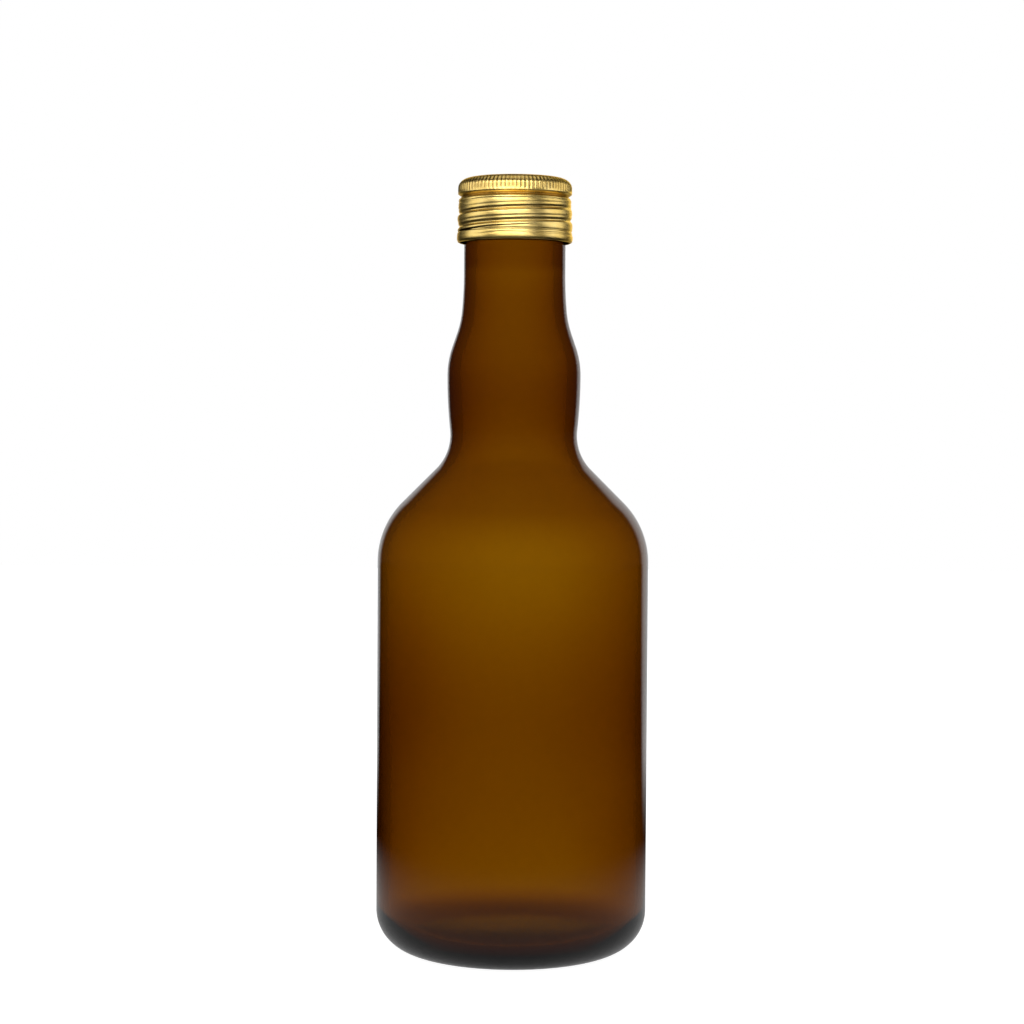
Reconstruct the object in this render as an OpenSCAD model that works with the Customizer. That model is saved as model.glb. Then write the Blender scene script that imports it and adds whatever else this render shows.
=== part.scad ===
/* [Body] */
// Diameter of the straight body
body_d = 67.8; // [64:0.2:72]
// Height at which the straight body turns into the shoulder
shoulder_z = 97.4; // [80:0.2:120]
// Radius of the round edge where the body meets the shoulder
shoulder_arc = 21; // [18:0.5:23]
// Radius of the round heel
heel_arc = 10; // [8:0.5:12]
// Glass thickness of the side wall
wall = 2.7; // [2:0.1:3]
// Glass thickness under the inside heel
floor_z = 5.5; // [5:0.1:9]
// Depth of the hollow under the base
punt_depth = 3.2; // [2:0.1:4]

/* [Neck] */
// Radius of the waist below the neck bulge
waist_r = 15.85; // [15.6:0.05:16.2]
// Radius of the hollow curve that runs from the shoulder into the waist
waist_arc = 12; // [9:0.5:14]
// Largest radius of the neck bulge
bulge_r = 16.65; // [16.5:0.05:17.2]
// Height of the widest ring of the bulge above the waist
bulge_rise = 14.9; // [14:0.1:18]
// Radius of the rounded top of the bulge
bulge_top_arc = 21.6; // [18:0.2:24]
// Radius of the neck below the cap
neck_r = 12.66; // [12.5:0.02:12.8]

/* [Finish] */
// Height of the sealing lip
lip_z = 190.85; // [190:0.05:192]
// Diameter of the mouth
bore_d = 19; // [18:0.1:19.6]
// Outer diameter of the glass between the thread turns
root_d = 24.9; // [24.6:0.1:25.1]
// Outer diameter over the glass thread
crest_d = 27.2; // [26.8:0.1:27.3]
// Rise of the thread in one turn
pitch = 3.175; // [3:0.025:3.2]

/* [Cap] */
// Thickness of the rolled aluminium
sheet = 0.25; // [0.2:0.01:0.3]
// Outer diameter of the skirt
skirt_d = 28.1; // [28:0.05:28.3]
// Outer diameter of the knurled ring
crown_d = 28.4; // [28.3:0.05:28.6]
// Outer diameter of the rounded bottom bead
bead_d = 28.96; // [28.7:0.02:29.1]
// Overall height of the cap
cap_h = 16.1; // [16:0.05:16.3]
// Number of knurls round the crown
knurls = 84; // [60:2:96]
// Thickness of the sealing wad
wad_t = 2; // [1.8:0.1:2.1]
// Thickness of each of the two films on the wad
film_t = 0.1; // [0.05:0.01:0.2]

/* [Hidden] */
$fn = 96;
body_r = body_d / 2;
root_r = root_d / 2;
crest_r = crest_d / 2;
bore_r = bore_d / 2;

// Shoulder: a 45 degree slope between a convex and a hollow arc
shoulder_c = [body_r - shoulder_arc, shoulder_z];
slope_sum = shoulder_c[0] + shoulder_c[1] + sqrt(2) * shoulder_arc;
waist_z = slope_sum + (sqrt(2) - 1) * waist_arc - waist_r;
waist_c = [waist_r + waist_arc, waist_z];

// Bulge: one long arc that leaves the waist arc without a kink, and a shorter one on top
bulge_z = waist_z + bulge_rise;
waist_to_bulge = waist_c[0] - bulge_r;
bulge_low_arc = (pow(waist_to_bulge, 2) + pow(bulge_rise, 2) - pow(waist_arc, 2)) / (2 * (bulge_r - waist_r));
bulge_low_a = atan(bulge_rise / (waist_to_bulge + bulge_low_arc));
bulge_top_a = 19.1;
bulge_low_c = [bulge_r - bulge_low_arc, bulge_z];
bulge_top_c = [bulge_r - bulge_top_arc, bulge_z];

// Neck: two hollow arcs bring the bulge slope back to the vertical
neck_arc = 24;
neck_long_arc = 100;
neck_a = 5.2;
bulge_top_end = bulge_top_c + bulge_top_arc * [cos(bulge_top_a), sin(bulge_top_a)];
neck_long_drop = neck_long_arc * (1 - cos(neck_a));
neck_drop = neck_arc * (cos(neck_a) - cos(bulge_top_a));
neck_slope_drop = bulge_top_end[0] - neck_r - neck_long_drop - neck_drop;
neck_slope_end = bulge_top_end + neck_slope_drop * [-1, 1 / tan(bulge_top_a)];
neck_c = neck_slope_end + neck_arc * [cos(bulge_top_a), sin(bulge_top_a)];
neck_mid = neck_c - neck_arc * [cos(neck_a), sin(neck_a)];
neck_long_c = neck_mid + neck_long_arc * [cos(neck_a), sin(neck_a)];
bore_taper = 2.5;
finish_z = lip_z - 14.4;
lip_out_arc = 1;
lip_in_arc = 0.8;

// Base
heel_c = [body_r - heel_arc, heel_arc];
bearing_in_r = heel_c[0] - 2.4;
floor_dome = 2;
inner_heel_arc = heel_arc - wall;

// Thread of the glass: turns from the lower start to the upper end, angles in degrees round +Z
groove_z = 183;
groove_from = -385;
groove_to = 385;
thread_from = -330;
thread_to = 262;
thread_fade = 45;
thread_step = 10;
thread_sunk = 0.4;
thread_crest_w = 1;
thread_flank = 1.1;
blunt_end = 0.35;

// Cap
cap_z = lip_z + wad_t + sheet - cap_h;
cap_top = cap_z + cap_h;
skirt_r = skirt_d / 2;
crown_r = crown_d / 2;
bead_r = bead_d / 2;
groove_depth = 0.42;
groove_w = 0.6;
groove_flank = 1.4;
ridge_w = groove_w + sheet;
groove_fade = 60;
neck_in_z = cap_top - 4.75;
neck_in_depth = 0.56;
knurl_depth = 0.2;
knurl_z = cap_top - 2.7;
crown_edge_w = 3.2;
crown_edge_h = 2.5;
crown_edge_c = [crown_r - crown_edge_w, cap_top - crown_edge_h];
bead_z = cap_z + 1.35;
bead_h = 2.5;
curl_in_r = crest_r + 0.14;
wad_gap = 0.12;

function arc(c, r, from, to, n) = [for (i = [0 : n]) let (a = from + (to - from) * i / n) c + r * [cos(a), sin(a)]];
function ellipse(c, rx, ry, from, to, n) =
    [for (i = [0 : n]) let (a = from + (to - from) * i / n) c + [rx * cos(a), ry * sin(a)]];
// Points that lie on the one before are dropped
function tidy(p) = [for (i = [0 : len(p) - 1]) if (i == 0 || norm(p[i] - p[i - 1]) > 0.001) p[i]];
function reversed(p) = [for (i = [len(p) - 1 : -1 : 0]) p[i]];

// A shallow dome from the rim at radius r up to the axis
function dome(r, z, rise, n) =
    let (big = (r * r + rise * rise) / (2 * rise), half = asin(r / big))
    arc([0, z + rise - big], big, 90 - half, 90, n);

// The side of the bottle from the shoulder to the top of the neck, moved inwards by t
function side(t) = concat(
    arc(shoulder_c, shoulder_arc - t, 0, 45, 6),
    arc(waist_c, waist_arc + t, 225, 180 - bulge_low_a, 7),
    arc(bulge_low_c, bulge_low_arc - t, -bulge_low_a, 0, 3),
    arc(bulge_top_c, bulge_top_arc - t, 0, bulge_top_a, 4),
    arc(neck_c, neck_arc + t, 180 + bulge_top_a, 180 + neck_a, 3),
    arc(neck_long_c, neck_long_arc + t, 180 + neck_a, 180, 3));

function glass_outline() = tidy(concat(
    reversed(dome(bearing_in_r, 0, punt_depth, 6)),
    arc(heel_c, heel_arc, 270, 360, 8),
    side(0),
    [[neck_r, finish_z], [root_r, finish_z + 0.4]],
    arc([root_r - lip_out_arc, lip_z - lip_out_arc], lip_out_arc, 0, 90, 4),
    arc([bore_r + lip_in_arc, lip_z - lip_in_arc], lip_in_arc, 90, 180, 4),
    [[bore_r, neck_long_c[1] + bore_taper]],
    reversed(side(wall)),
    arc([heel_c[0], floor_z + inner_heel_arc], inner_heel_arc, 360, 270, 6),
    dome(heel_c[0], floor_z, floor_dome, 6)));

// A closed helical bar. ring(a) gives its section at angle a as [radius, height] points, all in the same order.
function helix_points(rings, angles) =
    [for (i = [0 : len(angles) - 1]) for (p = rings[i]) [p[0] * cos(angles[i]), p[0] * sin(angles[i]), p[1]]];
function helix_faces(turns, n) = concat(
    [[for (j = [n - 1 : -1 : 0]) j]],
    [for (i = [0 : turns - 2]) for (j = [0 : n - 1]) let (k = (j + 1) % n) each [
        [i * n + j, i * n + k, (i + 1) * n + j],
        [i * n + k, (i + 1) * n + k, (i + 1) * n + j]]],
    [[for (j = [0 : n - 1]) (turns - 1) * n + j]]);

function rise(a) = pitch * a / 360;
// 1 along the bar, falling smoothly to 0 at both ends
function fade(a, from, to, over) = sin(90 * max(0, min(1, (a - from) / over, (to - a) / over)));
function steps(from, to) = [for (a = [from : thread_step : to]) a];

// Section of the glass thread: its flanks start inside the wall, so that the two fuse cleanly
function thread_ring(a) =
    let (f = blunt_end + (1 - blunt_end) * fade(a, thread_from, thread_to, thread_fade))
    let (z = groove_z + rise(a) + pitch / 2, r = root_r + (crest_r - root_r) * f, sunk_r = root_r - thread_sunk)
    let (crest_w = thread_crest_w * f, base_w = crest_w + (r - sunk_r) * thread_flank)
    [[sunk_r, z - base_w / 2], [r, z - crest_w / 2], [r, z + crest_w / 2], [sunk_r, z + base_w / 2]];

// Section of the rolled groove of the skirt, between radius "base_r" in the sheet and the groove's floor
function groove_ring(a, base_r, floor_r, floor_w) =
    let (f = blunt_end + (1 - blunt_end) * fade(a, groove_from, groove_to, groove_fade))
    let (z = groove_z + rise(a), r = floor_r + groove_depth * (1 - f))
    let (half_floor = floor_w / 2, half_base = half_floor + (base_r - r) * groove_flank / 2)
    [[r, z - half_floor], [base_r, z - half_base], [base_r, z + half_base], [r, z + half_floor]];

module helix(rings, angles) {
    polyhedron(helix_points(rings, angles), helix_faces(len(angles), len(rings[0])), convexity = 12);
}

module glass_thread() {
    angles = steps(thread_from, thread_to);
    helix([for (a = angles) thread_ring(a)], angles);
}

module glass_bottle() {
    color([0.42, 0.24, 0.03, 0.85]) union() {
        rotate_extrude() polygon(glass_outline());
        glass_thread();
    }
}

// Section of the skin of the cap, moved inwards by t
function skin_outline(t) = tidy(concat(
    [[0, cap_z - 1 + t], [curl_in_r + sheet - t, cap_z - 1 + t], [curl_in_r + sheet - t, cap_z + 0.1]],
    ellipse([skirt_r, bead_z], bead_r - skirt_r - t, bead_h / 2 - t, -78, 90, 8),
    [[skirt_r - t, bead_z + bead_h / 2]],
    [[skirt_r - t, neck_in_z - 0.9], [skirt_r - neck_in_depth - t, neck_in_z - 0.2]],
    [[skirt_r - neck_in_depth - t, neck_in_z + 0.2], [crown_r - t, neck_in_z + 0.75]],
    ellipse(crown_edge_c, crown_edge_w - t, crown_edge_h - t, 0, 90, 9),
    [[0, cap_top - t]]));

module skin(t) {
    rotate_extrude() polygon(skin_outline(t));
}

module knurled_blank() {
    linear_extrude(cap_top + 1)
        polygon([for (i = [0 : 2 * knurls - 1])
            let (r = crown_r + 0.03 - knurl_depth * (i % 2), a = 180 * i / knurls)
            r * [cos(a), sin(a)]]);
}

module cap_shell() {
    groove_angles = steps(groove_from, groove_to);
    // The ridge inside reaches a little past both ends of the groove outside
    ridge_angles = steps(groove_from - thread_step / 2, groove_to + thread_step / 2);
    ridge_r = skirt_r - sheet - groove_depth;
    color([0.86, 0.72, 0.38]) difference() {
        union() {
            difference() {
                skin(0);
                skin(sheet);
                translate([0, 0, cap_z - 5]) cylinder(r = bead_r + 1, h = 5);
            }
            helix([for (a = ridge_angles) groove_ring(a, skirt_r - sheet / 2, ridge_r, ridge_w)], ridge_angles);
        }
        helix([for (a = groove_angles) groove_ring(a, skirt_r + sheet, skirt_r - groove_depth, groove_w)],
            groove_angles);
        difference() {
            translate([0, 0, knurl_z]) cylinder(r = crown_r + 1, h = 10);
            knurled_blank();
        }
    }
}

// The wad fills the crown: its upper edge follows the rounded rim of the cap
module wad_layer(from, to) {
    rotate_extrude() intersection() {
        polygon(concat(
            [[0, lip_z], [crown_r - sheet - wad_gap, lip_z]],
            tidy(ellipse(crown_edge_c, crown_edge_w - sheet - wad_gap, crown_edge_h - sheet, 10, 90, 8)),
            [[0, lip_z + wad_t]]));
        translate([0, from]) square([crown_r, to - from]);
    }
}

module liner_backing_film() {
    color([0.75, 0.76, 0.78]) wad_layer(lip_z + wad_t - film_t, lip_z + wad_t);
}

module liner_foam_core() {
    color([0.95, 0.95, 0.92]) wad_layer(lip_z + film_t, lip_z + wad_t - film_t);
}

module liner_barrier_film() {
    color([0.93, 0.95, 0.97]) wad_layer(lip_z, lip_z + film_t);
}

glass_bottle();
cap_shell();
liner_backing_film();
liner_foam_core();
liner_barrier_film();
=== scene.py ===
import math

import bpy
import numpy as np
from mathutils import Matrix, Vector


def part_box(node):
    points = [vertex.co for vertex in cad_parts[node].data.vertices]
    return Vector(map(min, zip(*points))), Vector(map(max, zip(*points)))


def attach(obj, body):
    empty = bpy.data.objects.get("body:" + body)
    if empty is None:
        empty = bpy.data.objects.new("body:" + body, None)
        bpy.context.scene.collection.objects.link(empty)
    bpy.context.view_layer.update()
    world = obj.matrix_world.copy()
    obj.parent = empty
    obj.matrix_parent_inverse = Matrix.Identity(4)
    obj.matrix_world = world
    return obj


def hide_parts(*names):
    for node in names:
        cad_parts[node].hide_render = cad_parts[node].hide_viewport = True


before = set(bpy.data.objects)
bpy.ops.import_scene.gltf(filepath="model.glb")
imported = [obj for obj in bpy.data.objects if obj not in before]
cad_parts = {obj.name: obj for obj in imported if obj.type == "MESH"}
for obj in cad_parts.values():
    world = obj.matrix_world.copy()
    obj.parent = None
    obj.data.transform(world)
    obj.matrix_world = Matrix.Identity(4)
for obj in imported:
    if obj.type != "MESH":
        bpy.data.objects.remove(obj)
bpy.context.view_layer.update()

mm = 0.001
glassLow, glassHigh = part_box("glass_bottle")
capLow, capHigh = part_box("cap_shell")
print("frame loaded")


# Small helpers for outlines: every outline is a list of (radius, height) in millimetres

def arc(centre, radius, start, end, steps):  # angles in degrees, from the outward direction towards up
    turns = [math.radians(start + (end - start) * i / steps) for i in range(steps + 1)]
    return [(centre[0] + radius * math.cos(a), centre[1] + radius * math.sin(a)) for a in turns]


def filled(outline, gapAt):  # adds points along each stretch, so that none is longer than gapAt(height)
    points = [outline[0]]
    for start, end in zip(outline, outline[1:]):
        length = math.dist(start, end)
        if length < 1e-4:
            continue
        pieces = max(1, math.ceil(length / gapAt((start[1] + end[1]) / 2)))
        points += [tuple(a + (b - a) * i / pieces for a, b in zip(start, end)) for i in range(1, pieces + 1)]
    return points


def bell(height, centre, spread):
    return math.exp(-((height - centre) / spread) ** 2)


# Geometry Nodes: one tree turns an outline round the Z axis and rolls a thread and knurls into it

def add(tree, kind, *values, **settings):  # adds a node and feeds its sockets in their order
    node = tree.nodes.new(kind)
    for name, value in settings.items():
        setattr(node, name, value)
    for socket, value in zip(node.inputs, values):
        if isinstance(value, bpy.types.NodeSocket):
            tree.links.new(value, socket)
        elif value is not None:
            socket.default_value = value
    return node


def calc(tree, operation, *values):
    return add(tree, "ShaderNodeMath", *values, operation=operation).outputs[0]


def ramp(tree, value, start, end):  # 0 at start, 1 at end, smooth between
    node = add(tree, "ShaderNodeMapRange", value, start, end, 0.0, 1.0, interpolation_type="SMOOTHSTEP")
    return node.outputs[0]


mergeDistance = 0.0005 * mm  # closes the seam and the poles
latheInputs = {
    "Steps": ("NodeSocketInt", 192), "Material": ("NodeSocketMaterial", None),
    "Thread Height": ("NodeSocketFloat", 0.0), "Thread Pitch": ("NodeSocketFloat", 0.003),
    "Thread Z": ("NodeSocketFloat", 0.0), "Thread From": ("NodeSocketFloat", -1.0),
    "Thread To": ("NodeSocketFloat", 1.0), "Thread Crest": ("NodeSocketFloat", 0.0005),
    "Thread Foot": ("NodeSocketFloat", 0.001), "Thread Fade": ("NodeSocketFloat", 0.2),
    "Knurls": ("NodeSocketInt", 80), "Knurl Radial": ("NodeSocketFloat", 0.0),
    "Knurl Upward": ("NodeSocketFloat", 0.0), "Knurl Low": ("NodeSocketFloat", 0.0),
    "Knurl High": ("NodeSocketFloat", 0.001), "Knurl Edge": ("NodeSocketFloat", 0.0005),
    "Wave": ("NodeSocketFloat", 0.0), "Wave Scale": ("NodeSocketFloat", 100.0),
    "Wave Squash": ("NodeSocketFloat", 1.0), "Seed": ("NodeSocketFloat", 0.0),
}


def makeLatheTree():
    tree = bpy.data.node_groups.new("turnOnAxis", "GeometryNodeTree")
    tree.interface.new_socket("Outline", in_out="INPUT", socket_type="NodeSocketGeometry")
    for name, (kind, value) in latheInputs.items():
        socket = tree.interface.new_socket(name, in_out="INPUT", socket_type=kind)
        if value is not None:
            socket.default_value = value
    tree.interface.new_socket("Turned", in_out="OUTPUT", socket_type="NodeSocketGeometry")
    given = tree.nodes.new("NodeGroupInput").outputs
    size = add(tree, "GeometryNodeAttributeDomainSize", given["Outline"], component="MESH")
    count = size.outputs["Point Count"]
    around = calc(tree, "ADD", given["Steps"], 1.0)
    grid = add(tree, "GeometryNodeMeshGrid", 1.0, 1.0, around, count).outputs["Mesh"]
    index = add(tree, "GeometryNodeInputIndex").outputs[0]
    along = calc(tree, "FLOORED_MODULO", index, count)
    column = calc(tree, "FLOOR", calc(tree, "DIVIDE", calc(tree, "ADD", index, 0.5), count))
    turn = calc(tree, "DIVIDE", column, given["Steps"])
    angle = calc(tree, "MULTIPLY", turn, math.tau)

    def sampled(kind, field):
        node = tree.nodes.new("GeometryNodeSampleIndex")
        node.data_type = kind
        tree.links.new(given["Outline"], node.inputs["Geometry"])
        tree.links.new(field, node.inputs["Value"])
        tree.links.new(along, node.inputs["Index"])
        return node.outputs["Value"]

    place = add(tree, "ShaderNodeSeparateXYZ",
                sampled("FLOAT_VECTOR", add(tree, "GeometryNodeInputPosition").outputs[0])).outputs

    def attribute(name):
        node = tree.nodes.new("GeometryNodeInputNamedAttribute")
        node.data_type = "FLOAT"
        node.inputs["Name"].default_value = name
        return sampled("FLOAT", node.outputs["Attribute"])

    threaded, wavy = attribute("threaded"), attribute("wavy")
    radius, height = place["X"], place["Z"]
    # thread: how far a point is from the helix, and on which turn
    climbed = calc(tree, "DIVIDE", calc(tree, "SUBTRACT", height, given["Thread Z"]), given["Thread Pitch"])
    helix = calc(tree, "SUBTRACT", climbed, turn)
    nearest = calc(tree, "ROUND", helix)
    away = calc(tree, "MULTIPLY", calc(tree, "ABSOLUTE", calc(tree, "SUBTRACT", helix, nearest)),
                given["Thread Pitch"])
    turns = calc(tree, "ADD", nearest, turn)
    fullFrom = calc(tree, "ADD", given["Thread From"], given["Thread Fade"])
    fullTo = calc(tree, "SUBTRACT", given["Thread To"], given["Thread Fade"])
    begun = ramp(tree, turns, given["Thread From"], fullFrom)
    ended = ramp(tree, turns, given["Thread To"], fullTo)
    form = ramp(tree, away, given["Thread Foot"], given["Thread Crest"])
    thread = calc(tree, "MULTIPLY", calc(tree, "MULTIPLY", begun, ended),
                  calc(tree, "MULTIPLY", calc(tree, "MULTIPLY", form, threaded), given["Thread Height"]))
    # knurls: a wave round the axis between two heights
    beats = calc(tree, "COSINE", calc(tree, "MULTIPLY", angle, given["Knurls"]))
    wave = calc(tree, "MULTIPLY_ADD", beats, -0.5, 0.5)
    lowEnd = calc(tree, "ADD", given["Knurl Low"], given["Knurl Edge"])
    highEnd = calc(tree, "SUBTRACT", given["Knurl High"], given["Knurl Edge"])
    low = ramp(tree, height, given["Knurl Low"], lowEnd)
    high = ramp(tree, height, given["Knurl High"], highEnd)
    knurl = calc(tree, "MULTIPLY", calc(tree, "MULTIPLY", low, high), calc(tree, "MULTIPLY", wave, threaded))
    # slow unevenness of the surface
    circle = add(tree, "ShaderNodeCombineXYZ", calc(tree, "MULTIPLY", radius, calc(tree, "COSINE", angle)),
                 calc(tree, "MULTIPLY", radius, calc(tree, "SINE", angle)),
                 calc(tree, "MULTIPLY_ADD", height, given["Wave Squash"], given["Seed"])).outputs[0]
    noise = add(tree, "ShaderNodeTexNoise")
    tree.links.new(circle, noise.inputs["Vector"])
    tree.links.new(given["Wave Scale"], noise.inputs["Scale"])
    noise.inputs["Detail"].default_value = 1.0
    swing = calc(tree, "MULTIPLY", calc(tree, "SUBTRACT", noise.outputs[0], 0.5), wavy)
    uneven = calc(tree, "MULTIPLY", swing, given["Wave"])
    pushed = calc(tree, "ADD", calc(tree, "ADD", radius, thread),
                  calc(tree, "ADD", uneven, calc(tree, "MULTIPLY", knurl, given["Knurl Radial"])))
    raised = calc(tree, "MULTIPLY_ADD", knurl, given["Knurl Upward"], height)
    moved = add(tree, "ShaderNodeCombineXYZ", calc(tree, "MULTIPLY", pushed, calc(tree, "COSINE", angle)),
                calc(tree, "MULTIPLY", pushed, calc(tree, "SINE", angle)), raised).outputs[0]
    turned = tree.nodes.new("GeometryNodeSetPosition")
    tree.links.new(grid, turned.inputs["Geometry"])
    tree.links.new(moved, turned.inputs["Position"])
    joined = tree.nodes.new("GeometryNodeMergeByDistance")
    joined.inputs["Distance"].default_value = mergeDistance
    tree.links.new(turned.outputs[0], joined.inputs["Geometry"])
    smooth = add(tree, "GeometryNodeSetShadeSmooth", joined.outputs[0])
    real = add(tree, "GeometryNodeRealizeInstances", smooth.outputs[0])
    finish = tree.nodes.new("GeometryNodeSetMaterial")
    tree.links.new(real.outputs[0], finish.inputs["Geometry"])
    tree.links.new(given["Material"], finish.inputs["Material"])
    result = tree.nodes.new("NodeGroupOutput")
    tree.links.new(finish.outputs[0], result.inputs["Turned"])
    return tree


latheTree = makeLatheTree()


poleRadius = 5.0  # the press leaves what is nearer to the axis as it is


def pressed(mesh, press):  # moves each point in or out, and stores as an attribute how much painted shade it gets
    count = len(mesh.vertices)
    places, normals = np.empty(count * 3), np.empty(count * 3)
    mesh.vertices.foreach_get("co", places)
    mesh.vertex_normals.foreach_get("vector", normals)
    places, normals = places.reshape(-1, 3) / mm, normals.reshape(-1, 3)
    radius = np.hypot(places[:, 0], places[:, 1])
    facing = (normals[:, :2] * places[:, :2]).sum(axis=1) / np.maximum(radius, 0.01)
    angle = np.degrees(np.arctan2(places[:, 1], places[:, 0]))
    change, depth = press(angle, places[:, 2], facing, normals[:, 2])
    places[:, :2] *= 1 + np.where(radius > poleRadius, change / np.maximum(radius, poleRadius), 0)[:, None]
    mesh.vertices.foreach_set("co", (places * mm).ravel())
    mesh.attributes.new("recessShade", "FLOAT", "POINT").data.foreach_set("value", depth)
    mesh.update()


def turnedPiece(name, outline, material, body, node, slot, threaded, wavy, press=None, **inputs):
    mesh = bpy.data.meshes.new(name + "Outline")
    edges = [(i, i + 1) for i in range(len(outline) - 1)]
    mesh.from_pydata([(r * mm, 0.0, z * mm) for r, z in outline], edges, [])
    for attributeName, chosen in (("threaded", threaded), ("wavy", wavy)):
        attribute = mesh.attributes.new(attributeName, "FLOAT", "POINT")
        attribute.data.foreach_set("value", [float(chosen(i, *point)) for i, point in enumerate(outline)])
    maker = bpy.data.objects.new(name + "Maker", mesh)
    bpy.context.scene.collection.objects.link(maker)
    modifier = maker.modifiers.new("turn", "NODES")
    modifier.node_group = latheTree
    items = latheTree.interface.items_tree
    sockets = {item.name: item.identifier for item in items if item.in_out == "INPUT"}
    modifier[sockets["Material"]] = material
    for label, value in inputs.items():
        modifier[sockets[label.replace("_", " ")]] = value
    depsgraph = bpy.context.evaluated_depsgraph_get()
    made = bpy.data.meshes.new_from_object(maker.evaluated_get(depsgraph))
    bpy.data.objects.remove(maker)
    made.name = name
    if press:
        pressed(made, press)
    piece = bpy.data.objects.new(name, made)
    bpy.context.scene.collection.objects.link(piece)
    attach(piece, body)
    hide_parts(node)
    print("made", name, len(made.polygons), "faces")
    return piece


# Materials

def newMaterial(name, **values):
    material = bpy.data.materials.new(name)
    material.use_nodes = True
    shader = material.node_tree.nodes["Principled BSDF"]
    for label, value in values.items():
        shader.inputs[label.replace("_", " ")].default_value = value
    return material, material.node_tree, shader


def stretchedNoise(tree, scale, size, detail, roughness=0.5):  # stretched by a Mapping node
    place = add(tree, "ShaderNodeTexCoord").outputs["Object"]
    mapped = tree.nodes.new("ShaderNodeMapping")
    tree.links.new(place, mapped.inputs["Vector"])
    mapped.inputs["Scale"].default_value = scale
    noise = tree.nodes.new("ShaderNodeTexNoise")
    tree.links.new(mapped.outputs[0], noise.inputs["Vector"])
    noise.inputs["Scale"].default_value = size
    noise.inputs["Detail"].default_value = detail
    noise.inputs["Roughness"].default_value = roughness
    return noise.outputs[0]


def bumped(tree, shader, height, depth):  # depth in millimetres
    bump = tree.nodes.new("ShaderNodeBump")
    bump.inputs["Distance"].default_value = depth * mm
    tree.links.new(height, bump.inputs["Height"])
    tree.links.new(bump.outputs[0], shader.inputs["Normal"])


def colourRamp(tree, value, *stops):
    node = tree.nodes.new("ShaderNodeValToRGB")
    while len(node.color_ramp.elements) < len(stops):
        node.color_ramp.elements.new(0.5)
    for element, (position, colour) in zip(node.color_ramp.elements, stops):
        element.position = position
        element.color = (*colour, 1.0)
    tree.links.new(value, node.inputs[0])
    return node.outputs[0]


amberLook = {
    "tint": (0.99, 0.97, 0.80), "tintDeep": (0.96, 0.92, 0.70),
    "absorb": (0.303, 0.485, 1.45),  # red, green and blue, per millimetre of glass
    "roughness": 0.035, "refraction": 1.52, "mirror": 0.75, "ripple": 0.02,
}


def makeAmber():
    material, tree, shader = newMaterial(
        "amberGlass", Transmission_Weight=1.0, IOR=amberLook["refraction"], Roughness=amberLook["roughness"],
        Specular_Tint=(*[amberLook["mirror"]] * 3, 1.0))
    cords = stretchedNoise(tree, (1.0, 1.0, 0.35), 38.0, 2.0)
    tree.links.new(colourRamp(tree, cords, (0.3, amberLook["tintDeep"]), (0.7, amberLook["tint"])),
                   shader.inputs["Base Color"])
    bumped(tree, shader, stretchedNoise(tree, (1.0, 1.0, 0.4), 90.0, 1.0), amberLook["ripple"])
    strongest = max(amberLook["absorb"])
    inside = tree.nodes.new("ShaderNodeVolumeAbsorption")
    inside.inputs["Color"].default_value = (*[1 - a / strongest for a in amberLook["absorb"]], 1.0)
    inside.inputs["Density"].default_value = strongest / mm
    tree.links.new(inside.outputs[0], tree.nodes["Material Output"].inputs["Volume"])
    return material


# recess and inside are painted shade colours: the recess colour for grooves, knurl valleys and the crown
# edge, the near-black inside colour for inner faces
goldLook = {
    "colour": (0.72, 0.51, 0.15), "colourLight": (0.84, 0.63, 0.23), "tint": (0.8, 0.62, 0.3),
    "recessShade": (0.36, 0.20, 0.04), "inside": (0.02, 0.012, 0.004), "recessFrom": 0.05, "recessTo": 0.6,
    "recessStop": 0.65, "insideShadeStop": 0.95,
    "roughness": (0.27, 0.38), "brushDepth": 0.010, "anisotropic": 0.3,
}


def makeGold():
    material, tree, shader = newMaterial(
        "goldLacqueredAluminium", Metallic=1.0, Anisotropic=goldLook["anisotropic"],
        Specular_Tint=(*goldLook["tint"], 1.0))
    cloud = stretchedNoise(tree, (1.0, 1.0, 1.0), 260.0, 4.0)
    lacquer = colourRamp(tree, cloud, (0.35, goldLook["colour"]), (0.7, goldLook["colourLight"]))
    # painted shade: the recess attribute darkens the lacquer colour in recesses and turns inner faces near
    # black
    shadeAmount = tree.nodes.new("ShaderNodeAttribute")
    shadeAmount.attribute_name = "recessShade"
    mixed = tree.nodes.new("ShaderNodeMix")
    mixed.data_type = "RGBA"
    share = ramp(tree, shadeAmount.outputs["Fac"], goldLook["recessFrom"], goldLook["recessTo"])
    shade = colourRamp(tree, shadeAmount.outputs["Fac"], (goldLook["recessStop"], goldLook["recessShade"]),
                       (goldLook["insideShadeStop"], goldLook["inside"]))
    tree.links.new(share, mixed.inputs["Factor"])
    tree.links.new(lacquer, mixed.inputs[6])
    tree.links.new(shade, mixed.inputs[7])
    tree.links.new(mixed.outputs[2], shader.inputs["Base Color"])
    brushed = stretchedNoise(tree, (1.0, 1.0, 14.0), 420.0, 3.0, 0.6)
    low, high = goldLook["roughness"]
    tree.links.new(add(tree, "ShaderNodeMapRange", brushed, 0.3, 0.7, low, high).outputs[0],
                   shader.inputs["Roughness"])
    bumped(tree, shader, brushed, goldLook["brushDepth"])
    return material


amber = makeAmber()
gold = makeGold()
print("materials made")


# The bottle: the same arcs as the solid it stands for, with the uneven inner wall of blown glass

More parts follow.
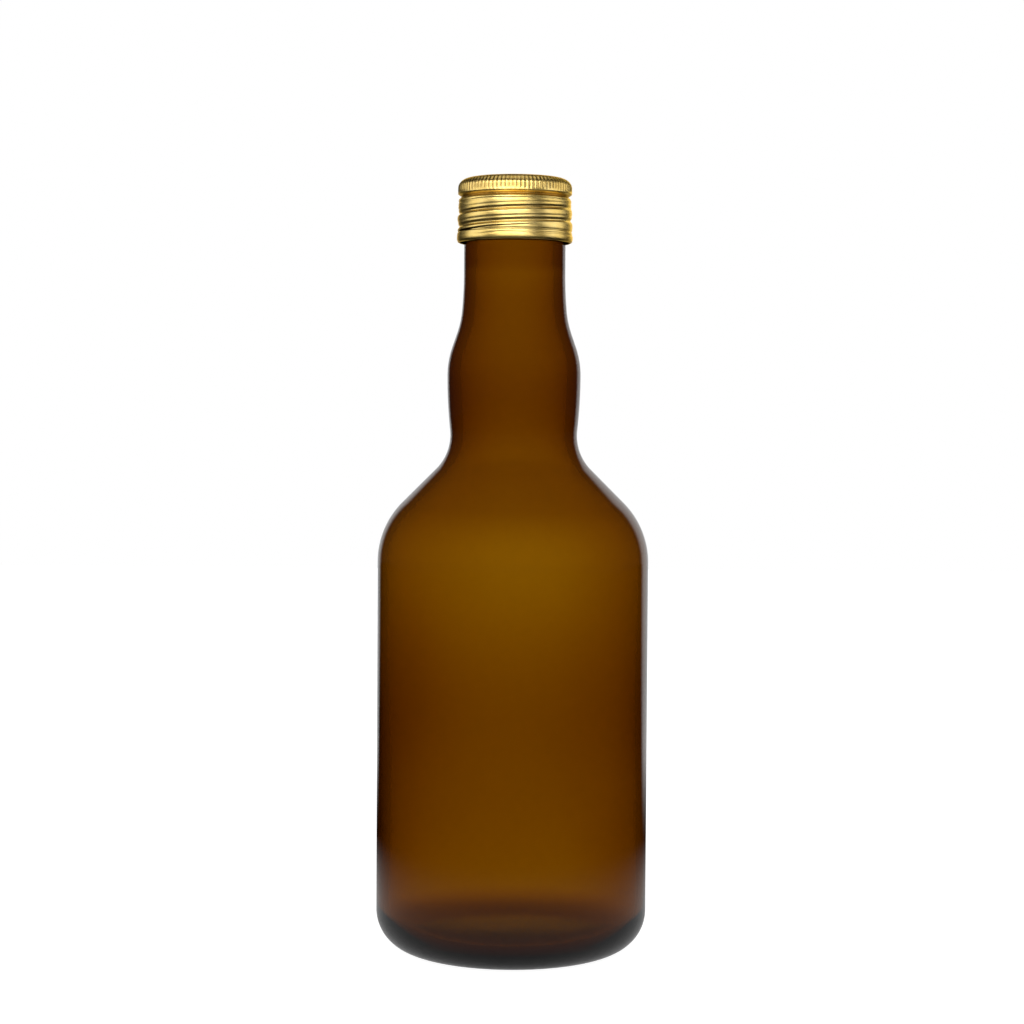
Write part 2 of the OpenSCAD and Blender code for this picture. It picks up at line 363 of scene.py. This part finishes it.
bottle = {
    "bodyRadius": glassHigh[0] / mm, "lipHeight": glassHigh[2] / mm,
    "heelArc": 10.0, "puntDepth": 3.2, "bearingWidth": 2.4,
    "shoulderHeight": 97.4, "shoulderArc": 21.0, "waistRadius": 15.85, "waistArc": 12.0,
    "bulgeRadius": 16.65, "bulgeRise": 14.9, "bulgeTopArc": 21.6, "bulgeTopAngle": 19.1,
    "neckArc": 24.0, "neckLongArc": 100.0, "neckAngle": 5.2, "neckRadius": 12.66,
    "rootRadius": 12.45, "crestRadius": 13.6, "boreRadius": 9.5, "boreTaper": 2.5, "finishHeight": 14.4,
    "lipOutArc": 1.0, "lipInArc": 0.8, "pitch": 3.175, "threadMiddle": 183.0,
    "wall": 2.7, "floorHeight": 4.9, "floorDome": 1.6, "floorArc": 6.4,
    "rootStep": 0.4, "finishSpacing": 0.22, "sideSpacing": 1.4, "insideSpacing": 1.8,
    "unevenFrom": 14.0, "unevenTo": 170.0, "waveTo": 150.0,
}
# how much thicker the glass settled, at which height, and over what spread
wallChanges = ((0.45, 58, 20), (-0.25, 100, 18), (0.15, 30, 10), (0.7, 138, 14), (0.35, 162, 10))


def polar(angle):
    return math.cos(math.radians(angle)), math.sin(math.radians(angle))


def bottleSide(b, inwards):
    shoulder = (b["bodyRadius"] - b["shoulderArc"], b["shoulderHeight"])
    slopeSum = sum(shoulder) + math.sqrt(2) * b["shoulderArc"]
    waistHeight = slopeSum + (math.sqrt(2) - 1) * b["waistArc"] - b["waistRadius"]
    waist = (b["waistRadius"] + b["waistArc"], waistHeight)
    bulgeHeight = waistHeight + b["bulgeRise"]
    across = waist[0] - b["bulgeRadius"]
    longArc = ((across ** 2 + b["bulgeRise"] ** 2 - b["waistArc"] ** 2)
               / (2 * (b["bulgeRadius"] - b["waistRadius"])))
    lowAngle = math.degrees(math.atan(b["bulgeRise"] / (across + longArc)))
    lowCentre = (b["bulgeRadius"] - longArc, bulgeHeight)
    topCentre = (b["bulgeRadius"] - b["bulgeTopArc"], bulgeHeight)
    topCos, topSin = polar(b["bulgeTopAngle"])
    neckCos, neckSin = polar(b["neckAngle"])
    slopeStart = (topCentre[0] + b["bulgeTopArc"] * topCos, topCentre[1] + b["bulgeTopArc"] * topSin)
    slopeDrop = (slopeStart[0] - b["neckRadius"] - b["neckLongArc"] * (1 - neckCos)
                 - b["neckArc"] * (neckCos - topCos))
    slopeEnd = (slopeStart[0] - slopeDrop, slopeStart[1] + slopeDrop * topCos / topSin)
    neck = (slopeEnd[0] + b["neckArc"] * topCos, slopeEnd[1] + b["neckArc"] * topSin)
    middle = (neck[0] - b["neckArc"] * neckCos, neck[1] - b["neckArc"] * neckSin)
    longCentre = (middle[0] + b["neckLongArc"] * neckCos, middle[1] + b["neckLongArc"] * neckSin)
    t = inwards
    return (arc(shoulder, b["shoulderArc"] - t, 0, 45, 24)
            + arc(waist, b["waistArc"] + t, 225, 180 - lowAngle, 20)
            + arc(lowCentre, longArc - t, -lowAngle, 0, 12)
            + arc(topCentre, b["bulgeTopArc"] - t, 0, b["bulgeTopAngle"], 10)
            + arc(neck, b["neckArc"] + t, 180 + b["bulgeTopAngle"], 180 + b["neckAngle"], 8)
            + arc(longCentre, b["neckLongArc"] + t, 180 + b["neckAngle"], 180, 8))


def dome(radius, height, rise, steps):  # from the rim up to the axis
    big = (radius ** 2 + rise ** 2) / (2 * rise)
    half = math.degrees(math.asin(radius / big))
    return arc((0.0, height + rise - big), big, 90 - half, 90, steps)


def wallChange(height):
    return sum(amount * bell(height, centre, spread) for amount, centre, spread in wallChanges)


def makeBottle():
    b = bottle
    heelRadius = b["bodyRadius"] - b["heelArc"]
    outside = (dome(heelRadius - b["bearingWidth"], 0.0, b["puntDepth"], 24)[::-1]
               + arc((heelRadius, b["heelArc"]), b["heelArc"], 270, 360, 24) + bottleSide(b, 0.0)
               + [(b["neckRadius"], b["lipHeight"] - b["finishHeight"]),
                  (b["rootRadius"], b["lipHeight"] - b["finishHeight"] + b["rootStep"])]
               + arc((b["rootRadius"] - b["lipOutArc"], b["lipHeight"] - b["lipOutArc"]),
                     b["lipOutArc"], 0, 90, 8))
    floorRadius = b["bodyRadius"] - b["wall"] - b["floorArc"]
    innerSide = bottleSide(b, b["wall"])
    inside = (arc((b["boreRadius"] + b["lipInArc"], b["lipHeight"] - b["lipInArc"]),
                  b["lipInArc"], 90, 180, 8)
              + [(b["boreRadius"], innerSide[-1][1] + b["boreTaper"])] + innerSide[::-1]
              + arc((floorRadius, b["floorHeight"] + b["floorArc"]), b["floorArc"], 360, 270, 16)
              + dome(floorRadius, b["floorHeight"], b["floorDome"], 16))
    finishZ = b["lipHeight"] - b["finishHeight"]
    outside = filled(outside, lambda z: b["finishSpacing"] if z > finishZ else b["sideSpacing"])
    inside = [(r - wallChange(z) if b["unevenFrom"] < z < b["unevenTo"] else r, z)
              for r, z in filled(inside, lambda z: b["insideSpacing"])]
    outerCount = len(outside)
    return turnedPiece(
        "bottleGlass", outside + inside, amber, "bottle", "glass_bottle", "amber_glass",
        threaded=lambda i, r, z: i < outerCount and (z > finishZ or z < 0.4),
        wavy=lambda i, r, z: i > outerCount and b["unevenFrom"] < z < b["waveTo"],
        Steps=200, Thread_Height=(b["crestRadius"] - b["rootRadius"]) * mm, Thread_Pitch=b["pitch"] * mm,
        Thread_Z=(b["threadMiddle"] + b["pitch"] / 2) * mm, Thread_From=-0.92, Thread_To=0.73,
        Thread_Crest=0.45 * mm, Thread_Foot=1.15 * mm, Thread_Fade=0.12,
        Knurls=100, Knurl_Upward=0.25 * mm, Knurl_Low=-1.0 * mm, Knurl_High=0.3 * mm, Knurl_Edge=0.25 * mm,
        Wave=0.6 * mm, Wave_Scale=26.0, Wave_Squash=0.7, Seed=0.3)


# The cap: a thin shell with a knurled crown, a rolled-in ring, a rolled thread and a curled bead

cap = {
    "low": capLow[2] / mm, "high": capHigh[2] / mm, "sheet": 0.25,
    "skirtRadius": 14.05, "crownRadius": 14.2, "crownEdgeWide": 3.2, "crownEdgeHigh": 2.5,
    "neckInDepth": 0.7, "neckInDown": 4.75, "neckInSpread": 0.42, "neckInRecess": 0.35,
    "beadRadius": capHigh[0] / mm, "beadHeight": 2.5, "beadRise": 1.35, "crownRise": 0.75,
    "curlRadius": 13.74, "curlThick": 0.12, "curlRise": 0.1,
    "knurls": 84, "knurlDepth": 0.2, "knurlDown": 4.0, "knurlEdge": 0.9, "knurlRecess": 0.7,
    "crownDown": 3.9, "rimRecess": 0.8, "rimFrom": 0.75, "rimFade": 0.15, "rimTo": 0.995, "rimEnd": 0.02,
    "taper": 0.3, "taperHigh": 187.5, "taperHighFade": 4.5, "taperLow": 178.9, "taperLowFade": 1.5,
    "creaseMost": 0.12, "creaseInGroove": 0.35, "fine": 0.19, "coarse": 1.0, "flatDown": 0.4,
    "wave": 0.12, "waveDown": 2.6, "flatRadius": 9.0,
    "recessGain": 2.2, "recessStart": 0.3, "outsideMost": 0.6,
}
# the groove between two turns: a deep line under its middle, a faint one over it, and a wide hollow
rolledGroove = {
    "lowLine": -0.5, "lowDepth": 0.42, "lowWidth": 0.42,
    "highLine": 0.6, "highDepth": 0.08, "highWidth": 0.3,
    "middleDepth": 0.16, "middleWidth": 0.8, "from": -385.0, "to": 385.0, "fade": 70.0,
}
# creases left by the rollers: height at the front, rise in a quarter turn, half width and depth in mm,
# and where they begin and end, in degrees to the right of the front
wrinkleFade = 35
wrinkles = (
    {"height": 187.2, "rise": 0.35, "width": 0.16, "depth": 0.13, "from": -110, "to": 120, "sway": 0.12},
    {"height": 180.7, "rise": 1.15, "width": 0.24, "depth": 0.06, "from": -100, "to": 125, "sway": 0.05},
    {"height": 178.7, "rise": 0.15, "width": 0.16, "depth": 0.14, "from": -60, "to": 110, "sway": 0.15},
    {"height": 185.9, "rise": 0.7, "width": 0.14, "depth": 0.10, "from": 60, "to": 230, "sway": 0.1},
    {"height": 182.6, "rise": 0.9, "width": 0.16, "depth": 0.14, "from": 100, "to": 290, "sway": 0.1},
    {"height": 179.4, "rise": 0.3, "width": 0.14, "depth": 0.12, "from": 150, "to": 280, "sway": 0.12},
)


def step(value):
    value = np.clip(value, 0, 1)
    return value * value * (3 - 2 * value)


def dip(height, centre, spread):
    return np.exp(-((height - centre) / spread) ** 2)


def rolledPress(angle, height, facing, upward):  # how far the skirt is moved, and how much painted shade it gets in recesses and on inner faces
    c, g = cap, rolledGroove
    change = (c["taper"] * step((c["taperHigh"] - height) / c["taperHighFade"])
              * step((height - c["taperLow"]) / c["taperLowFade"]))
    for turn in (-1, 0, 1):
        along = angle + 360 * turn
        away = height - bottle["threadMiddle"] - bottle["pitch"] * along / 360
        ends = step((along - g["from"]) / g["fade"]) * step((g["to"] - along) / g["fade"])
        change -= ends * (g["lowDepth"] * dip(away, g["lowLine"], g["lowWidth"])
                          + g["highDepth"] * dip(away, g["highLine"], g["highWidth"])
                          + g["middleDepth"] * dip(away, 0, g["middleWidth"]))
    front = (angle + 90) % 360
    crease = 0
    for w in wrinkles:
        here = np.where(front <= w["to"], front, front - 360)
        line = w["height"] + w["rise"] * here / 90 + w["sway"] * np.sin(here * 0.11 + w["height"])
        ends = step((here - w["from"]) / wrinkleFade) * step((w["to"] - here) / wrinkleFade)
        crease = np.maximum(crease, ends * w["depth"] * dip(height, line, w["width"]))
    outOfGroove = step((change + 0.4) / 0.3)
    kept = c["creaseInGroove"] + (1 - c["creaseInGroove"]) * outOfGroove
    change -= np.where(facing > 0, np.minimum(crease, c["creaseMost"]) * kept, 0)
    crown = height > c["high"] - c["crownDown"]
    knurl = 0.5 - 0.5 * np.cos(np.radians(c["knurls"] * angle))
    knurl *= step((height - c["high"] + c["knurlDown"]) / c["knurlEdge"])
    # painted shade: the rolled-in ring, the upward-sloping crown edge, the knurl valleys and the sunk groove
    # surfaces are given a darker colour
    ringShade = c["rimRecess"] * dip(height, c["high"] - c["neckInDown"], c["neckInRecess"])
    rimShade = (c["rimRecess"] * step((upward - c["rimFrom"]) / c["rimFade"])
           * step((c["rimTo"] - upward) / c["rimEnd"]))
    # painted shade: inner faces get the full amount, which the cap material turns near black
    inside = (facing < -0.3) | ((upward < -0.5) & (height > c["high"] - 1.0))
    change = np.where(crown, 0, change)
    grooveShade = np.clip(np.maximum(-c["recessGain"] * change - c["recessStart"], ringShade), 0, 1)
    depth = np.where(crown, np.maximum(c["knurlRecess"] * knurl, rimShade), grooveShade)
    return change, np.where(inside, 1.0, c["outsideMost"] * depth)


def oval(centre, wide, high, start, end, turn):  # a point every so many degrees
    angles = [math.radians(a) for a in range(start, end + 1, turn)]
    return [(centre[0] + wide * math.cos(a), centre[1] + high * math.sin(a)) for a in angles]


def capSkin(c, t):  # the face t inside the outer one, from the curl up to the middle of the top
    bead = (c["skirtRadius"], c["low"] + c["beadRise"])
    neckIn = c["high"] - c["neckInDown"]
    edge = (c["crownRadius"] - c["crownEdgeWide"], c["high"] - c["crownEdgeHigh"])
    groove = [(c["skirtRadius"] - t - c["neckInDepth"] * bell(away, 0, c["neckInSpread"]), neckIn + away)
              for away in (i / 10 for i in range(-12, 5))]
    return ([(c["curlRadius"] + c["sheet"] - t, c["low"] + c["curlRise"])]
            + oval(bead, c["beadRadius"] - c["skirtRadius"] - t, c["beadHeight"] / 2 - t, -78, 90, 8)
            + groove + [(c["crownRadius"] - t, neckIn + c["crownRise"])]
            + oval(edge, c["crownEdgeWide"] - t, c["crownEdgeHigh"] - t, 0, 90, 5) + [(0.0, c["high"] - t)])


def makeCap():
    c = cap
    curl = [(c["curlRadius"] + c["curlThick"], c["low"])]
    outline = filled(capSkin(c, c["sheet"])[::-1] + curl + capSkin(c, 0.0),
                     lambda z: c["fine"] if z < c["high"] - c["flatDown"] else c["coarse"])
    lowest = min(range(len(outline)), key=lambda i: outline[i][1])
    return turnedPiece(
        "capShell", outline, gold, "cap", "cap_shell", "gold_aluminium",
        threaded=lambda i, r, z: i > lowest and r > c["flatRadius"],
        wavy=lambda i, r, z: z < c["high"] - c["waveDown"],
        press=rolledPress, Steps=c["knurls"] * 4,
        Knurls=c["knurls"], Knurl_Radial=-c["knurlDepth"] * mm, Knurl_Low=(c["high"] - c["knurlDown"]) * mm,
        Knurl_High=(c["high"] + 0.02) * mm, Knurl_Edge=c["knurlEdge"] * mm,
        Wave=c["wave"] * mm, Wave_Scale=60.0, Wave_Squash=4.0, Seed=1.7)


makeBottle()
capPiece = makeCap()


# The sealing wad keeps its solid shape: foam with fine cells between two smooth films

wadLayers = {
    "liner_backing_film": {"dark": (0.55, 0.54, 0.50), "light": (0.68, 0.67, 0.62), "grain": 700.0,
                           "roughness": 0.35, "pits": 0.002, "sheen": 0.0},
    "liner_foam_core": {"dark": (0.66, 0.65, 0.60), "light": (0.84, 0.83, 0.78), "grain": 2600.0,
                        "roughness": 0.85, "pits": 0.04, "sheen": 0.15},
    "liner_barrier_film": {"dark": (0.70, 0.70, 0.68), "light": (0.80, 0.80, 0.78), "grain": 500.0,
                           "roughness": 0.22, "pits": 0.003, "sheen": 0.0},
}


def makeWadLook(name, w):
    material, tree, shader = newMaterial(name + "Look", Roughness=w["roughness"], Sheen_Weight=w["sheen"])
    grain = stretchedNoise(tree, (1.0, 1.0, 1.0), w["grain"], 3.0, 0.6)
    tree.links.new(colourRamp(tree, grain, (0.3, w["dark"]), (0.7, w["light"])), shader.inputs["Base Color"])
    bumped(tree, shader, grain, w["pits"])
    layer = bpy.data.objects[name]
    layer.data.materials.clear()
    layer.data.materials.append(material)
    return layer


wad = [makeWadLook(name, w) for name, w in wadLayers.items()]
print("wad finished")


# Studio

studio = {
    "lens": 81.51, "distance": 581.0, "cameraHeight": 132.6, "tiltDown": 2.24, "roll": 0.35, "aside": -0.30,
    "mirrored": 0.62, "mirroredRound": 0.01, "soft": 0.6, "thinPath": 0.75,
    "thinWalls": 2.0, "thickWalls": 4.0, "backdropLean": 0.1, "backdropFrom": 0.80, "backdropFull": 0.90,
    "floorHalf": 1.5, "floorGlow": 0.97, "floorMirrored": 0.42, "floorColour": 0.4, "shadedWithin": 0.065,
    "nearTo": 0.18, "nearFull": 0.06, "farFrom": 0.15, "farFull": 0.4,
}


def makeCamera(s):
    data = bpy.data.cameras.new("camera")
    data.sensor_width, data.lens = 36.0, s["lens"]
    data.clip_start = 0.01
    camera = bpy.data.objects.new("camera", data)
    bpy.context.scene.collection.objects.link(camera)
    tilt = Matrix.Rotation(math.radians(90 - s["tiltDown"]), 4, "X")
    roll = Matrix.Rotation(math.radians(s["roll"]), 4, "Z")
    place = Matrix.Translation((s["aside"] * mm, -s["distance"] * mm, s["cameraHeight"] * mm))
    camera.matrix_world = place @ tilt @ roll
    bpy.context.scene.camera = camera


def backdropSeen(tree, s, x, y):  # 1 where a reflection meets the backdrop, a little wider to the right
    towards = calc(tree, "MULTIPLY_ADD", x, s["backdropLean"], y)
    return ramp(tree, towards, s["backdropFrom"], s["backdropFull"])


def sortRays(tree, s):  # rays from the eye, mirrored, through glass (less through few walls), soft
    path = add(tree, "ShaderNodeLightPath").outputs
    through = path["Is Transmission Ray"]
    mirrored = calc(tree, "SUBTRACT", path["Is Glossy Ray"], through)
    mirrored.node.use_clamp = True
    walls = ramp(tree, path["Transmission Depth"], s["thinWalls"], s["thickWalls"])
    passed = add(tree, "ShaderNodeMapRange", walls, 0.0, 1.0, s["thinPath"], 1.0).outputs[0]
    return path["Is Camera Ray"], mirrored, calc(tree, "MULTIPLY", through, passed), path["Is Diffuse Ray"]


def makeWorld(s):  # white to the eye and through glass; reflections only meet a bright backdrop
    world = bpy.data.worlds.new("studio")
    bpy.context.scene.world = world
    world.use_nodes = True
    tree = world.node_tree
    background = tree.nodes["Background"]
    towards = add(tree, "ShaderNodeTexCoord").outputs["Generated"]
    direction = add(tree, "ShaderNodeSeparateXYZ", towards).outputs
    behind = backdropSeen(tree, s, direction["X"], direction["Y"])
    seen, mirrored, through, diffuse = sortRays(tree, s)
    glare = add(tree, "ShaderNodeMapRange", behind, 0.0, 1.0, s["mirroredRound"], s["mirrored"]).outputs[0]
    level = calc(tree, "MAXIMUM", calc(tree, "MAXIMUM", seen, through),
                 calc(tree, "MAXIMUM", calc(tree, "MULTIPLY", mirrored, glare),
                      calc(tree, "MULTIPLY", diffuse, s["soft"])))
    tree.links.new(level, background.inputs["Strength"])
    background.inputs["Color"].default_value = (1.0, 1.0, 1.0, 1.0)


def makeFloor(s):  # glows white; its reflection fades away from the object, and rays through the glass see a painted shadow under it
    mesh = bpy.data.meshes.new("floor")
    half = s["floorHalf"]
    corners = [(-half, -half, 0), (half, -half, 0), (half, half, 0), (-half, half, 0)]
    mesh.from_pydata(corners, [], [(0, 1, 2, 3)])
    floor = bpy.data.objects.new("floor", mesh)
    bpy.context.scene.collection.objects.link(floor)
    material, tree, shader = newMaterial(
        "paleFloor", Roughness=0.9, Emission_Color=(1.0, 1.0, 1.0, 1.0), Specular_IOR_Level=0.0)
    place = add(tree, "ShaderNodeTexCoord").outputs["Object"]
    reach = add(tree, "ShaderNodeVectorMath", place, operation="LENGTH").outputs["Value"]
    direction = add(tree, "ShaderNodeSeparateXYZ",
                    add(tree, "ShaderNodeVectorMath", place, operation="NORMALIZE").outputs[0]).outputs
    # painted shadow: the floor's glow seen through the glass is dimmed under the object
    shaded = ramp(tree, reach, 0.0, s["shadedWithin"])
    nearby = calc(tree, "MULTIPLY", ramp(tree, reach, s["nearTo"], s["nearFull"]), s["floorMirrored"])
    backdrop = backdropSeen(tree, s, direction["X"], direction["Y"])
    far = calc(tree, "MULTIPLY", ramp(tree, reach, s["farFrom"], s["farFull"]),
               calc(tree, "MULTIPLY", backdrop, s["mirrored"]))
    seen, mirrored, through, diffuse = sortRays(tree, s)
    glow = calc(tree, "MAXIMUM", calc(tree, "MAXIMUM", seen, calc(tree, "MULTIPLY", through, shaded)),
                calc(tree, "MULTIPLY", mirrored, calc(tree, "MAXIMUM", nearby, far)))
    tree.links.new(calc(tree, "MULTIPLY", glow, s["floorGlow"]), shader.inputs["Emission Strength"])
    pale = calc(tree, "MULTIPLY", calc(tree, "MAXIMUM", seen, diffuse), s["floorColour"])
    tree.links.new(pale, shader.inputs["Base Color"])
    mesh.materials.append(material)


softboxes = {
    "frontLight": {"place": (-0.1, -0.75, 0.42), "wide": 1.0, "high": 0.75, "glow": 2.2},
    "lowLight": {"place": (0.05, -0.62, 0.09), "wide": 0.9, "high": 0.14, "glow": 1.9},
    "stripLight": {"place": (-0.12, -0.5, 0.52), "wide": 0.8, "high": 0.12, "glow": 4.2},
    "leftLight": {"place": (-0.75, -0.1, 0.35), "wide": 0.7, "high": 0.6, "glow": 1.5},
    "rightLight": {"place": (0.75, -0.05, 0.35), "wide": 0.7, "high": 0.6, "glow": 1.5},
    "backLight": {"place": (0.1, 0.75, 0.40), "wide": 0.9, "high": 0.6, "glow": 1.4},
    "topLight": {"place": (0.0, 0.0, 0.95), "wide": 0.6, "high": 0.6, "glow": 1.0},
}


def makeLights():
    lit = bpy.data.collections.new("litPieces")
    for part in (capPiece, *wad):
        lit.objects.link(part)
    target = (capLow + capHigh) / 2
    for name, light in softboxes.items():
        data = bpy.data.lights.new(name, "AREA")
        data.shape, data.size, data.size_y = "RECTANGLE", light["wide"], light["high"]
        data.energy = light["glow"] * math.pi * light["wide"] * light["high"]
        lamp = bpy.data.objects.new(name, data)
        bpy.context.scene.collection.objects.link(lamp)
        place = Matrix.Translation(light["place"])
        aim = (target - place.translation).to_track_quat("-Z", "Y")
        lamp.matrix_world = place @ aim.to_matrix().to_4x4()
        lamp.light_linking.receiver_collection = lit


makeCamera(studio)
makeWorld(studio)
makeFloor(studio)
makeLights()
bpy.context.scene.view_settings.view_transform = "Standard"
print("studio made")
